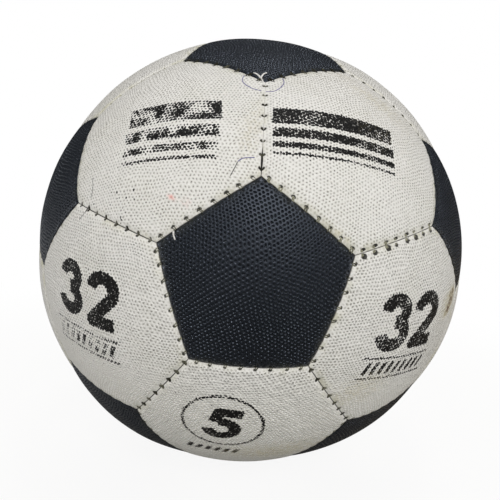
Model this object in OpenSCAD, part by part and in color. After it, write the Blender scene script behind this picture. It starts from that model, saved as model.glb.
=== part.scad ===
// Hand-stitched football: pentagon and hexagon panels sewn edge to edge over a lining and an air bladder.
// The origin is the ball's centre and +Z is up. One pentagon faces -Y with a corner at its top,
// and the valve sits in the middle of the opposite pentagon, on +Y.

/* [Ball] */
// Diameter across two opposite pentagons
ball_d = 220; // [190:1:240]
// Rise of a panel's middle above the middle of its seams
crown_h = 0.8; // [0.4:0.1:1.6]

/* [Panels] */
// Thickness of a panel's skin along its seams
skin_t = 1.8; // [1.4:0.1:3]
// Width of the rolled edge on a panel's face
roll_w = 1.2; // [0.8:0.1:2]
// Drop of the rolled edge at a pentagon's corner
roll_h = 0.4; // [0.2:0.1:0.6]
// Diameter of the clipped corner where three panels meet
corner_d = 2; // [1.4:0.2:3]
// Width of the turned-in hem that the stitches run through
hem_w = 4; // [3:0.5:6]

/* [Layers] */
// Thickness of the lining cloth behind each panel
lining_t = 0.8; // [0.5:0.1:1.5]
// Thickness of the bladder's wall
bladder_t = 0.8; // [0.5:0.1:1.5]
// Thickness of the glue line between neighbouring layers
glue_t = 0.1; // [0.05:0.01:0.2]

/* [Seams] */
// Gap between two panels at a seam
seam_gap = 0.6; // [0.4:0.1:1]
// Number of stitches along a seam
stitches = 8; // [5:1:9]
// Diameter of the sewing thread
thread_d = 0.9; // [0.6:0.1:1]
// Length of a stitch inside each panel
thread_bite = 1.8; // [1.2:0.1:2]
// Room around the thread in its hole
thread_room = 0.05; // [0.03:0.01:0.08]

/* [Valve] */
// Diameter of the valve's neck in its panel
neck_d = 9; // [8.5:0.5:12]
// Depth of the valve's mouth below the panel's middle
mouth_depth = 0.6; // [0.3:0.1:1]
// Diameter of the flange between panel and bladder
flange_d = 28; // [20:1:36]
// Diameter of the stem inside the bladder
stem_d = 11; // [9:0.5:14]
// Length of the stem inside the bladder
stem_l = 15; // [10:1:25]
// Diameter of the plug's barrel
plug_d = 4.6; // [4:0.1:5.4]
// Length of the barrel's tip past the stem
tip_l = 1; // [0.5:0.5:3]
// Diameter of the plug's head
head_d = 6.8; // [6:0.1:7.2]
// Height of the plug's head
head_h = 1.6; // [1:0.1:3]
// Room around the plug in its housing
plug_room = 0.05; // [0.02:0.01:0.1]
// Diameter of the hole for the inflation needle
needle_d = 2; // [1.6:0.1:2.4]
// Depth of the hole for the inflation needle
needle_depth = 12; // [6:1:14]

/* [Hidden] */
$fn = 96;

// Distances from the ball's centre, from the outside in
ball_r = ball_d / 2;
edge_r = ball_r - crown_h;
skin_in_r = edge_r - skin_t;
lining_out_r = skin_in_r - glue_t;
lining_in_r = lining_out_r - lining_t;
bladder_out_r = lining_in_r - glue_t;
bladder_in_r = bladder_out_r - bladder_t;
stem_end_r = bladder_in_r - stem_l;
mouth_r = ball_r - mouth_depth;

// Middle and corner distances of the truncated icosahedron, in lengths of its edge
side_ratio = 3 * (1 + sqrt(5)) / 4;
corner_ratio = sqrt(side_ratio * side_ratio + 1 / 4);
seam_arc = 2 * asin(1 / (2 * corner_ratio));

// Angles from the axis of an n-sided panel to the middle of a side and to a corner
function side_angle(n) = asin(1 / (2 * tan(180 / n) * side_ratio));
function corner_angle(n) = asin(1 / (2 * sin(180 / n) * corner_ratio));

// Centre of the sphere through a panel's middle and the middles of its sides
function crown_c(n) = (ball_r * ball_r - edge_r * edge_r) / (2 * (ball_r - edge_r * cos(side_angle(n))));
function crown_r(n) = ball_r - crown_c(n);
function face_r(n, a) = crown_c(n) * cos(a) + sqrt(pow(crown_r(n), 2) - pow(crown_c(n) * sin(a), 2));

// Where two rolled edges meet, and the stitches halfway down the hems below that
valley_r = face_r(5, corner_angle(5)) - roll_h;
stitch_r = (lining_in_r + valley_r) / 2;
stitch_l = seam_gap + 2 * thread_bite;

// Panel axes: pentagons on an icosahedron's corners, hexagons on its faces
function unit(v) = v / norm(v);
function pole(tilt, turn) = [sin(tilt) * sin(turn), -cos(tilt), sin(tilt) * cos(turn)];
ring_tilt = atan(2);
pentagon_axes = concat(
  [pole(0, 0)],
  [for (k = [0:4]) pole(ring_tilt, 72 * k)],
  [for (k = [0:4]) pole(180 - ring_tilt, 36 + 72 * k)],
  [pole(180, 0)]
);
pentagon_count = len(pentagon_axes);
valve_index = pentagon_count - 1;
function near(i, j) = pentagon_axes[i] * pentagon_axes[j] > 0;
hexagon_corners = [
  for (i = [0:pentagon_count - 3], j = [i + 1:pentagon_count - 2], k = [j + 1:pentagon_count - 1])
    if (near(i, j) && near(j, k) && near(i, k)) [i, j, k]
];
hexagon_axes = [
  for (c = hexagon_corners) unit(pentagon_axes[c[0]] + pentagon_axes[c[1]] + pentagon_axes[c[2]])
];
hexagon_count = len(hexagon_axes);
function hexagons_at(i) = [
  for (h = [0:hexagon_count - 1]) if (len(search(i, hexagon_corners[h])) > 0) hexagon_axes[h]
];

pentagon_names = [for (i = [1:pentagon_count]) str("pentagon_panel_", i)];
hexagon_names = [for (i = [1:hexagon_count]) str("hexagon_panel_", i)];
inner_names = [
  "pentagon_linings", "hexagon_linings", "pentagon_stitches", "hexagon_stitches",
  "bladder", "valve_housing", "valve_plug"
];

pentagon_colour = "#25282e";
hexagon_colour = "#dedad2";
lining_colour = "#cbbf9f";
thread_colour = "#6b6848";
bladder_colour = "#33302c";
valve_colour = "#1f1e1d";
plug_colour = "#4a4642";

// Turns +Z onto an axis, with +X as near as it can be to another direction
module aim(axis, toward) {
  x = unit(toward - axis * (axis * toward));
  y = cross(axis, x);
  multmatrix([
    [x[0], y[0], axis[0], 0],
    [x[1], y[1], axis[1], 0],
    [x[2], y[2], axis[2], 0],
    [0, 0, 0, 1]
  ]) children();
}

// +X meets the middle of a side
module at_pentagon(i) aim(pentagon_axes[i], hexagons_at(i)[0]) children();
module at_hexagon(i) aim(hexagon_axes[i], pentagon_axes[hexagon_corners[i][0]]) children();
module at_valve() aim(pentagon_axes[valve_index], [0, 0, 1]) children();

// Puts +Z through the middle of each side of a panel, with +X square to that seam
module at_sides(n) {
  for (s = [0:n - 1])
    rotate([0, 0, 360 * s / n])
      rotate([0, side_angle(n), 0]) children();
}

module along_seam() {
  for (i = [0:stitches - 1])
    rotate([seam_arc * ((i + 0.5) / stitches - 0.5), 0, 0])
      translate([0, 0, stitch_r]) children();
}

module across_seam(d, l) rotate([0, 90, 0]) cylinder(d = d, h = l, center = true);

// A sphere with its poles to the sides of a panel's face
module ball(r) rotate([90, 0, 0]) sphere(r);

// Cuts away what lies outside a panel's sides, or further in by an inset
module trim_sides(n, inset) {
  difference() {
    children();
    at_sides(n) translate([-inset, -ball_d, -ball_d]) cube(2 * ball_d);
  }
}

// Rings that bevel the edges of a panel's face down into the seams
module rolled_edges(n) {
  drop = edge_r - valley_r;
  at_sides(n)
    rotate([0, 90, 0])
      translate([0, 0, -seam_gap / 2])
        rotate_extrude()
          polygon([
            [valley_r - drop, roll_w],
            [edge_r + drop, roll_w],
            [edge_r + drop, -2 * roll_w]
          ]);
}

// Round nips through a panel's corners
module clipped_corners(n) {
  for (s = [0:n - 1])
    rotate([0, 0, 360 * (s + 0.5) / n])
      rotate([0, corner_angle(n), 0])
        translate([0, 0, bladder_in_r]) cylinder(d = corner_d, h = ball_r);
}

// A panel before its edges are rolled and stitched, hollowed behind so that its hems stand inwards
module panel_blank(n) {
  difference() {
    trim_sides(n, seam_gap / 2) translate([0, 0, crown_c(n)]) ball(crown_r(n));
    ball(lining_in_r);
    trim_sides(n, hem_w) ball(skin_in_r);
    clipped_corners(n);
  }
}

module panel(n) {
  difference() {
    panel_blank(n);
    rolled_edges(n);
    at_sides(n) along_seam() across_seam(thread_d + 2 * thread_room, stitch_l + 2 * thread_room);
  }
}

module lining(n) {
  difference() {
    trim_sides(n, hem_w + glue_t) ball(lining_out_r);
    ball(lining_in_r);
  }
}

module pentagon_panel(i) {
  color(pentagon_colour)
    difference() {
      at_pentagon(i) panel(5);
      if (i == valve_index) at_valve() cylinder(d = neck_d + 2 * glue_t, h = ball_d);
    }
}

module hexagon_panel(i) {
  color(hexagon_colour) at_hexagon(i) panel(6);
}

module pentagon_linings() {
  color(lining_colour)
    difference() {
      for (i = [0:pentagon_count - 1]) at_pentagon(i) lining(5);
      at_valve() cylinder(d = flange_d + 2 * glue_t, h = ball_d);
    }
}

module hexagon_linings() {
  color(lining_colour)
    for (i = [0:hexagon_count - 1]) at_hexagon(i) lining(6);
}

// Stitches in the seams round the pentagons
module pentagon_stitches() {
  color(thread_colour)
    for (i = [0:pentagon_count - 1])
      at_pentagon(i) at_sides(5) along_seam() across_seam(thread_d, stitch_l);
}

// Stitches in the seams between two hexagons, which run from pentagon to pentagon
module hexagon_stitches() {
  color(thread_colour)
    for (i = [0:pentagon_count - 2], j = [i + 1:pentagon_count - 1])
      if (near(i, j))
        aim(unit(pentagon_axes[i] + pentagon_axes[j]), cross(pentagon_axes[i], pentagon_axes[j]))
          along_seam() across_seam(thread_d, stitch_l);
}

module bladder() {
  color(bladder_colour)
    difference() {
      ball(bladder_out_r);
      ball(bladder_in_r);
      at_valve() cylinder(d = stem_d + 2 * glue_t, h = ball_d);
    }
}

module valve_housing() {
  flange_mid_r = (lining_in_r + lining_out_r) / 2;
  color(valve_colour)
    at_valve()
      difference() {
        union() {
          intersection() {
            difference() {
              ball(lining_out_r);
              ball(lining_in_r);
            }
            cylinder(d = flange_d, h = ball_d);
          }
          translate([0, 0, stem_end_r]) cylinder(d = stem_d, h = flange_mid_r - stem_end_r);
          translate([0, 0, flange_mid_r]) cylinder(d = neck_d, h = mouth_r - flange_mid_r);
        }
        cylinder(d = plug_d + 2 * plug_room, h = ball_d);
        translate([0, 0, mouth_r - head_h - plug_room])
          cylinder(d = head_d + 2 * plug_room, h = ball_d);
      }
}

module valve_plug() {
  head_low_r = mouth_r - head_h;
  tip_r = stem_end_r - tip_l;
  color(plug_colour)
    at_valve()
      difference() {
        union() {
          translate([0, 0, head_low_r]) cylinder(d = head_d, h = head_h);
          translate([0, 0, tip_r]) cylinder(d = plug_d, h = mouth_r - tip_r);
        }
        translate([0, 0, mouth_r - needle_depth]) cylinder(d = needle_d, h = ball_d);
      }
}

for (i = [0:pentagon_count - 1]) pentagon_panel(i);
for (i = [0:hexagon_count - 1]) hexagon_panel(i);
pentagon_linings();
hexagon_linings();
pentagon_stitches();
hexagon_stitches();
bladder();
valve_housing();
valve_plug();
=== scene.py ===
import math

import bpy
import numpy as np
from mathutils import Matrix, Vector


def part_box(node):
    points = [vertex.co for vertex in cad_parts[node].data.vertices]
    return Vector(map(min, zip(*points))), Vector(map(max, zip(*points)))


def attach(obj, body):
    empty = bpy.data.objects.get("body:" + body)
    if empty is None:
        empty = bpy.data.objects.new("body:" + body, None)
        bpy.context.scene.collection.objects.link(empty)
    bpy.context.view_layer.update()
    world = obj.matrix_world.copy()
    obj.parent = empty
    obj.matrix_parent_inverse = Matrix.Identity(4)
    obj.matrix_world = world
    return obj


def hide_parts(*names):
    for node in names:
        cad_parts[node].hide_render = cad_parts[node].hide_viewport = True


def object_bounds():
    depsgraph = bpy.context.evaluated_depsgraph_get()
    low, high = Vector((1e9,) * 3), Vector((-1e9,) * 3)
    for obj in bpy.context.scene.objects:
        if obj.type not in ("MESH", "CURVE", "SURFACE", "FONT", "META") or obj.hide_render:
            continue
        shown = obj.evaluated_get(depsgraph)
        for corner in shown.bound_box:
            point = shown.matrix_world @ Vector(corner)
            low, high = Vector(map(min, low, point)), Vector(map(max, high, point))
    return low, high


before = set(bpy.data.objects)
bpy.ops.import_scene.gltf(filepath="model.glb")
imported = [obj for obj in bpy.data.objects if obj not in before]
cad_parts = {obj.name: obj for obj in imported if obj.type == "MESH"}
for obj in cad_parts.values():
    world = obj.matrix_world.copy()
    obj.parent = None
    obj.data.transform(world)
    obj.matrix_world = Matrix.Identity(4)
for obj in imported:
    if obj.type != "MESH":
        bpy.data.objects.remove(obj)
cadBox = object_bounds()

mm = 0.001


# sRGB hex to the linear colour that a socket takes
def linear(hexColour):
    parts = [int(hexColour[k:k + 2], 16) / 255 for k in (1, 3, 5)]
    return [c / 12.92 if c <= 0.04045 else ((c + 0.055) / 1.055) ** 2.4 for c in parts] + [1.0]


# adds one shader node: a list fills its open sockets in order, a dictionary fills them by name
def addNode(tree, kind, inputs=(), out=None, **settings):
    made = tree.nodes.new("ShaderNode" + kind)
    for name, value in settings.items():
        setattr(made, name, value)
    openSockets = [s for s in made.inputs if s.enabled]
    pairs = inputs.items() if isinstance(inputs, dict) else enumerate(inputs)
    for key, value in pairs:
        socket = openSockets[key] if isinstance(key, int) else made.inputs[key]
        if isinstance(value, bpy.types.NodeSocket):
            tree.links.new(value, socket)
        elif isinstance(value, str):
            socket.default_value = linear(value)
        elif value is not None:
            socket.default_value = value
    return made.outputs[out] if out else next((s for s in made.outputs if s.enabled), None)


def newMaterial(name):
    material = bpy.data.materials.new(name)
    material.use_nodes = True
    material.node_tree.nodes.clear()
    return material, material.node_tree


def unit(v):
    v = np.asarray(v, float)
    return v / np.linalg.norm(v)


def smooth(x, low, high):
    t = np.clip((x - low) / (high - low), 0, 1)
    return t * t * (3 - 2 * t)


# one mesh object from points in millimetres, with point attributes and a map for each face corner
def addMesh(name, points, faces, material, attributes=None, cornerMap=None):
    mesh = bpy.data.meshes.new(name)
    mesh.from_pydata((np.asarray(points) * mm).tolist(), [], faces)
    for key, values in (attributes or {}).items():
        values = np.asarray(values, dtype=np.float32)
        if values.ndim == 2:
            mesh.attributes.new(key, "FLOAT_VECTOR", "POINT").data.foreach_set("vector", values.ravel())
        else:
            mesh.attributes.new(key, "FLOAT", "POINT").data.foreach_set("value", values)
    if cornerMap is not None:
        layer = mesh.uv_layers.new(name="OFBake")
        layer.data.foreach_set("uv", np.asarray(cornerMap, dtype=np.float32).ravel())
    mesh.polygons.foreach_set("use_smooth", np.ones(len(mesh.polygons), dtype=bool))
    mesh.materials.append(material)
    mesh.update()
    piece = bpy.data.objects.new(name, mesh)
    bpy.context.scene.collection.objects.link(piece)
    return piece


# the ball's build: 12 pentagons and 20 hexagons of a truncated icosahedron, sizes in mm
ball = {
    "crown": 0.8,        # how far a panel's middle stands above the middles of its sides
    "skin": 1.8,         # cover at the seams
    "lining": 0.8,       # cloth glued behind it
    "glue": 0.1,
    "bladder": 0.8,
    "hem": 4.0,          # edge turned in at a seam
    "gap": 0.06,         # what is left open between two panels pulled together
    "roll": {5: (1.7, 0.8), 6: (1.3, 0.45)},  # width and drop of a turned edge, on a pentagon's seams and the others
    # needle's holes by seam and panel: from the seam, half length along it, half width, bend towards the seam
    "hole": {(5, 5): (0.7, 0.62, 0.52, 0), (5, 6): (1.2, 0.9, 0.5, 0.2), (6, 6): (0.66, 0.66, 0.56, 0)},
    "slackHole": {-1: (1.1, 1.0, 0.5, 0), 1: (1.4, 1.05, 0.95, 0)},  # torn ones, on both sides of the open seam
    # in the white panels round the front pentagon, by hexagon
    "frontHole": {1: (1.4, 1.05, 0.7, 0.25), 2: (1.5, 1.2, 0.6, 0.3), 3: (1.25, 0.95, 0.58, 0.2),
                  4: (1.0, 0.8, 0.45, 0.2), 5: (1.2, 0.95, 0.6, 0.2)},
    "tightPull": 0.5,    # how much of a pull the stitches show round the less worn pentagons
    "hardPull": {(4, 4): 1.25, (4, 3): 0.8, (5, 4): 0.8},  # and on some of their seams
    "fadedPull": {2: 0.42, 3: 0.42, 4: 0.42, 5: 0.42},  # and on a front hexagon's seam to the white panel behind it
    "loose": [(2, 1), (2, 2)],  # of their seams, those with thread that shows on the black side
    # seams bowed by the pull of the panels, by pentagon and hexagon: mm towards the hexagon, and how far that reaches
    "bow": {(3, 1): -2.1, (3, 3): -2.0, (4, 3): -2.4, (5, 4): -2.0, (6, 2): -2.0,
            (1, 1): -0.2, (1, 2): -0.3, (1, 3): 0.4, (1, 4): 0.5, (1, 5): -0.3, (2, 2): 0.4},
    "bowReach": 10.0,
    # seams between white panels that gape, by hexagons: mm on each side, place towards the front, reach
    "gaping": {(2, 5): (0.06, 0, 60), (4, 5): (0.04, 0, 60), (3, 4): (0.04, 0, 60), (1, 2): (0.3, 17, 4)},
    # seams between white panels pulled shut: up to this place towards the front, over this length
    "shut": {(1, 2): (14, 4)},
    "grainToFront": (2, 3, 4, 5, 6),  # pentagons with rows of pits that run towards the front one
    "swell": [                                # where the worn ball is out of round: direction, mm, width in degrees
        ((-0.52, -0.46, -0.72), 1.35, 24), ((-0.85, -0.42, -0.32), 0.5, 16), ((-0.22, -0.30, 0.93), 0.75, 9),
        ((0.86, -0.44, -0.25), 0.75, 20), ((0.40, -0.49, -0.77), -0.35, 16),
    ],
    "unevenness": 0.12,  # hand-stitched panels bulge a little differently
    "stitches": 8,       # on each side
    "seed": 32,
}
radius = -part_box("pentagon_panel_1")[0][1] / mm
edgeRadius = radius - ball["crown"]
skinInside = edgeRadius - ball["skin"]
liningOutside = skinInside - ball["glue"]
liningInside = liningOutside - ball["lining"]
bladderOutside = liningInside - ball["glue"]
bladderInside = bladderOutside - ball["bladder"]
sideRatio = 3 * (1 + math.sqrt(5)) / 4
cornerRatio = math.sqrt(sideRatio ** 2 + 0.25)
seamArc = 2 * math.asin(0.5 / cornerRatio)
random = np.random.default_rng(ball["seed"])


def sideAngle(n):
    return math.asin(0.5 / (math.tan(math.pi / n) * sideRatio))


# distance from the ball's centre to the crowned face, by the cosine of the angle from the panel's axis
def faceRadius(n, cosine):
    drop = edgeRadius * math.cos(sideAngle(n))
    centre = (radius ** 2 - edgeRadius ** 2) / (2 * (radius - drop))
    return centre * cosine + np.sqrt((radius - centre) ** 2 - centre ** 2 * (1 - cosine ** 2))


def pole(tilt, turn):
    return np.array([
        math.sin(tilt) * math.sin(turn),
        -math.cos(tilt),
        math.sin(tilt) * math.cos(turn),
    ])


ringTilt = math.atan(2)
fifth = 2 * math.pi / 5
pentagonAxes = [pole(0, 0)]
pentagonAxes += [pole(ringTilt, fifth * k) for k in range(5)]
pentagonAxes += [pole(math.pi - ringTilt, fifth * (k + 0.5)) for k in range(5)]
pentagonAxes += [pole(math.pi, 0)]
hexagonAxes = []
for i in range(12):
    for j in range(i + 1, 12):
        for k in range(j + 1, 12):
            a, b, c = pentagonAxes[i], pentagonAxes[j], pentagonAxes[k]
            if min(a @ b, b @ c, c @ a) > 0:
                hexagonAxes.append(unit(a + b + c))

panels = []
for n, word, axes in ((5, "pentagon", pentagonAxes), (6, "hexagon", hexagonAxes)):
    for k, axis in enumerate(axes):
        low, high = (np.array(c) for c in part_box(f"{word}_panel_{k + 1}"))
        assert unit(low + high) @ axis > 0.99, "panel and node don't meet"
        panels.append({"n": n, "word": word, "number": k + 1, "axis": axis, "seams": []})

# each panel's flat frame: up is the ball's +Z laid on the panel
for panel in panels:
    axis = panel["axis"]
    guide = np.array([0, 0, 1.0]) if abs(axis[2]) < 0.99 else np.array([0, -1.0, 0])
    panel["up"] = unit(guide - axis * (guide @ axis))
    panel["right"] = np.cross(panel["up"], axis)

# seams: middle, direction across and along, and the places of its stitches
seams = []
neighbourAngle = math.radians(43)
openSeams = [("hexagon", 1, 3, 1.85)]  # worn open: pulled holes and slack thread
for i, a in enumerate(panels):
    for b in panels[i + 1:]:
        if a["axis"] @ b["axis"] < math.cos(neighbourAngle):
            continue
        toward = unit(b["axis"] - a["axis"] * (a["axis"] @ b["axis"]))
        tilt = sideAngle(a["n"])
        middle = math.cos(tilt) * a["axis"] + math.sin(tilt) * toward
        across = math.cos(tilt) * toward - math.sin(tilt) * a["axis"]
        count = ball["stitches"]
        places = ((np.arange(count) + 0.5) / count - 0.5) * seamArc * radius
        slack = 1.0
        for word, p, q, amount in openSeams:
            if (a["word"], a["number"], b["number"]) == (word, p, q):
                slack = amount
        numbers = (a["number"], b["number"])
        loose = a["n"] == 5 and numbers in ball["loose"]
        faded = a["n"] == 6 and a["number"] in ball["fadedPull"] and b["number"] > 5
        tight = 1.0
        if faded:
            tight = ball["fadedPull"][a["number"]]
        elif a["n"] == 5 and a["number"] > 1 and not loose:
            tight = ball["hardPull"].get(numbers, ball["tightPull"])
        hole = {n: ball["hole"][a["n"], n] for n in {a["n"], b["n"]}}
        if a["n"] == 5 and a["number"] == 1:
            hole[6] = ball["frontHole"][b["number"]]
        seam = {
            "middle": middle,
            "across": across,
            "along": np.cross(middle, across),
            "numbers": numbers,
            "hole": hole if slack == 1 else ball["slackHole"],
            "gaping": ball["gaping"].get(numbers) if a["n"] == 6 else None,
            "shut": ball["shut"].get(numbers) if a["n"] == 6 else None,
            "places": places + random.uniform(-0.35, 0.35, count),
            "pull": {side: random.uniform(0.75, 1.2, count) * tight for side in (1, -1)},
            "bow": ball["bow"].get(numbers, 0.0) if a["n"] == 5 else 0.0,
            "kinds": (a["n"], b["n"]),
            "roll": ball["roll"][a["n"]],
            "slack": slack,
            "loose": loose,
            "faded": faded,
        }
        if slack > 1:  # torn unevenly
            seam["pull"] = {side: slack * pull ** 2 for side, pull in seam["pull"].items()}
        seams.append(seam)
        a["seams"].append((seam, -1))
        b["seams"].append((seam, 1))
print("panels:", len(panels), "seams:", len(seams))


# how far the ball is out of round, mm
def swollen(directions):
    total = np.zeros(len(directions))
    for toward, amount, width in ball["swell"]:
        angle = np.degrees(np.arccos(np.clip(directions @ unit(toward), -1, 1)))
        total += amount * np.exp(-(angle / width) ** 2)
    return total


# directions shifted to where the bowed seams really run
def bowed(directions):
    moved = directions.copy()
    for seam in seams:
        if seam["bow"]:
            away = radius * np.arcsin(directions @ seam["across"])
            along = np.arctan2(directions @ seam["along"], directions @ seam["middle"])
            share = np.clip(1 - (2 * along / seamArc) ** 4, 0, 1) * np.exp(-(away / ball["bowReach"]) ** 2)
            moved += (seam["bow"] / radius * share)[:, None] * seam["across"]
    return moved / np.linalg.norm(moved, axis=1)[:, None]


# one panel's directions, drawn back where its seams gape
def drawnBack(panel, directions):
    moved = bowed(directions)
    for seam, sign in panel["seams"]:
        if seam["gaping"]:
            amount, place, reach = seam["gaping"]
            toFront = 1 if seam["along"][1] < 0 else -1
            away = radius * np.arcsin(directions @ (sign * seam["across"]))
            along = np.arctan2(directions @ seam["along"], directions @ seam["middle"])
            share = np.clip(1 - (2 * along / seamArc) ** 8, 0, 1) * np.exp(-(away / 1.1) ** 2)
            share *= np.exp(-((toFront * along * radius - place) / reach) ** 2)
            moved += (sign * amount / radius * share)[:, None] * seam["across"]
    return moved


# rows of a panel from its middle to its side, close together at the rolled edge
def rowsToSide(n, widest, finest=0.16, growth=1.2):
    reach = radius * sideAngle(n)
    steps = [finest]
    while sum(steps) < reach:
        steps.append(min(steps[-1] * growth, widest))
    rows = np.concatenate([[0], np.cumsum(steps[::-1])])
    return rows / rows[-1]


# a flat regular panel cut into one kite for each corner: points, four-sided faces, rim
def kiteGrid(n, rows, inset):
    m = len(rows) - 1
    inner = math.tan(sideAngle(n) - inset / radius)
    outer = inner / math.cos(math.pi / n)
    turns = 2 * math.pi * np.arange(n) / n
    sides = inner * np.stack([np.cos(turns), np.sin(turns)], 1)
    corners = outer * np.stack([np.cos(turns + math.pi / n), np.sin(turns + math.pi / n)], 1)
    u, v = np.meshgrid(rows[1:], rows[1:], indexing="ij")
    points = [np.zeros((1, 2))]
    points += [rows[1:, None] * sides[k] for k in range(n)]
    for k in range(n):
        spread = (u * (1 - v))[..., None] * sides[k] + ((1 - u) * v)[..., None] * sides[(k + 1) % n]
        points.append((spread + (u * v)[..., None] * corners[k]).reshape(-1, 2))
    faces, rim = [], []
    for k in range(n):
        table = np.zeros((m + 1, m + 1), dtype=int)
        table[1:, 0] = 1 + k * m + np.arange(m)
        table[0, 1:] = 1 + ((k + 1) % n) * m + np.arange(m)
        table[1:, 1:] = 1 + n * m + k * m * m + np.arange(m * m).reshape(m, m)
        quads = np.stack([table[:-1, :-1], table[1:, :-1], table[1:, 1:], table[:-1, 1:]], -1)
        faces.append(quads.reshape(-1, 4))
        rim += list(table[m, :]) + list(table[m - 1:0:-1, m])
    return np.concatenate(points), np.concatenate(faces), np.array(rim)


# faces between rings of points, each ring listed round the same way, outside first
def ringFaces(rings):
    faces = []
    for upper, lower in zip(rings[:-1], rings[1:]):
        faces.append(np.stack([lower, np.roll(lower, -1), np.roll(upper, -1), upper], 1))
    return np.concatenate(faces)


# printed marks in mm on a panel, right of and above its middle; all shapes are plain ones
numeralWidth = 0.72   # of the height
numeralStroke = 0.235


def arc(centre, across, upright, start, end, count=16):
    turns = np.radians(np.linspace(start, end, count))
    return np.stack([centre[0] + across * np.cos(turns), centre[1] + upright * np.sin(turns)], 1)


# strokes of a numeral in a box of height 1, with its middle at the origin
def numeralStrokes(digit):
    w = numeralWidth / 2 - numeralStroke / 2
    h = 0.5 - numeralStroke / 2
    if digit == "3":
        upper = arc((-0.01, h / 2 + 0.01), w - 0.02, h / 2 - 0.01, 178, -90)
        lower = arc((-0.01, -h / 2 + 0.01), w + 0.01, h / 2 + 0.01, 90, -178)
        return [upper, lower]
    if digit == "2":
        top = arc((0, h - 0.21), w, 0.21, 178, -28)
        return [np.concatenate([top, [(-w, -h)], [(w + 0.02, -h)]])]
    bowl = arc((-0.02, -h + 0.235), w, 0.235, 122, -170)
    return [np.array([(w, h), (-w + 0.06, h), (-w + 0.03, 0.06)]), bowl]


# depth inside a stroke along a path, with round joints and square ends
def strokeDepth(points, path, width):
    best = np.full(len(points), -9.0)
    for a, b in zip(path[:-1], path[1:]):
        span = b - a
        t = np.clip(((points - a) @ span) / max(span @ span, 1e-9), 0, 1)
        away = np.linalg.norm(points - a - t[:, None] * span, axis=1)
        best = np.maximum(best, width / 2 - away)
    for end, inward in ((path[0], path[1] - path[0]), (path[-1], path[-2] - path[-1])):
        near = np.linalg.norm(points - end, axis=1) < width * 0.75
        best = np.where(near, np.minimum(best, (points - end) @ unit(inward)), best)
    return best


def barDepth(points, width, height, slant=0.0):
    x = points[:, 0] - slant * points[:, 1]
    return np.minimum(width / 2 - np.abs(x), height / 2 - np.abs(points[:, 1]))


# depth inside the ink and how worn it is, for one mark
def markDepth(points, mark):
    turn = math.radians(mark["tilt"])
    shifted = points - np.array(mark["at"])
    local = shifted @ np.array([[math.cos(turn), -math.sin(turn)], [math.sin(turn), math.cos(turn)]])
    kind = mark["kind"]
    height = mark["height"]
    if kind == "numeral":
        local[:, 0] = (local[:, 0] - mark.get("slant", 0) * local[:, 1]) / mark.get("stretch", 1)
        paths = numeralStrokes(mark["digit"])
        return np.max([strokeDepth(local / height, p, numeralStroke) for p in paths], 0) * height
    if kind == "ring":
        return mark["line"] / 2 - np.abs(np.linalg.norm(local, axis=1) - height / 2)
    if kind == "stripes":
        depth = np.full(len(points), -9.0)
        top = height / 2
        for share in mark["shares"]:
            part = local - np.array([0, top - share * height / 2])
            depth = np.maximum(depth, barDepth(part, mark["width"], share * height, mark["slant"]))
            top -= (share + mark["space"]) * height
        return depth
    depth = np.full(len(points), -9.0)  # a strip: slanted ticks between two rules
    count = mark["ticks"]
    pitch = mark["width"] / count
    for k in range(count):
        part = local - np.array([(k + 0.5) * pitch - mark["width"] / 2, 0])
        depth = np.maximum(depth, barDepth(part, pitch * 0.55, height * 0.62, 0.35))
    for side in (-0.5, 0.5) if mark["rules"] else ():
        rule = local - np.array([0, side * height])
        depth = np.maximum(depth, barDepth(rule, mark["width"] + 3, mark["rules"]))
    return depth


# specks of ink beside the print on hexagon 2
inkSpecks = [(-10.4, -27.9), (-2.8, -26.7), (-1.8, -29.4), (-5.2, -29.6), (-6.5, -34.1), (-6.4, -36.7), (-6.3, -37.6),
             (-9.2, -30.0)]
printedMarks = {
    1: [dict(kind="stripes", at=(-12, 0.5), width=50, height=21, tilt=-9, wear=0.1, slant=0.12,
             shares=(0.36, 0.2, 0.12, 0.05), space=0.09)],
    2: [dict(kind="stripes", at=(5.5, -1.5), width=38, height=26, tilt=10, wear=0.3, slant=-0.12,
             shares=(0.36, 0.2, 0.12, 0.05), space=0.09)]
    + [dict(kind="ring", at=at, height=0.45, line=0.45, tilt=0, wear=0.0) for at in inkSpecks],
    3: [dict(kind="numeral", digit="3", at=(-10.7, 6.4), height=24, tilt=0, wear=0.09),
        dict(kind="numeral", digit="2", at=(8.2, 6.4), height=24, tilt=0, wear=0.07, stretch=1.06),
        dict(kind="strip", at=(-2.6, -13.3), width=37, height=9.4, tilt=-1.5, wear=0.12,
             ticks=9, rules=1.0)],
    4: [dict(kind="ring", at=(-8.2, 9.4), height=32.2, line=1.25, tilt=0, wear=0.17),
        dict(kind="numeral", digit="5", at=(-7.4, 9.0), height=20.5, tilt=-5, wear=0.02, slant=0.15, stretch=1.06),
        dict(kind="strip", at=(-11.8, -13.4), width=23, height=8, tilt=-1.5, wear=0.06,
             ticks=6, rules=0)],
    5: [dict(kind="numeral", digit="3", at=(-9.3, 10.6), height=23, tilt=-6, wear=0.04),
        dict(kind="numeral", digit="2", at=(9.4, 7.9), height=23.5, tilt=-6, wear=0.03),
        dict(kind="strip", at=(-4.4, -10.8), width=36, height=9.4, tilt=-7, wear=0.3,
             ticks=9, rules=0.9)],
}

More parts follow.
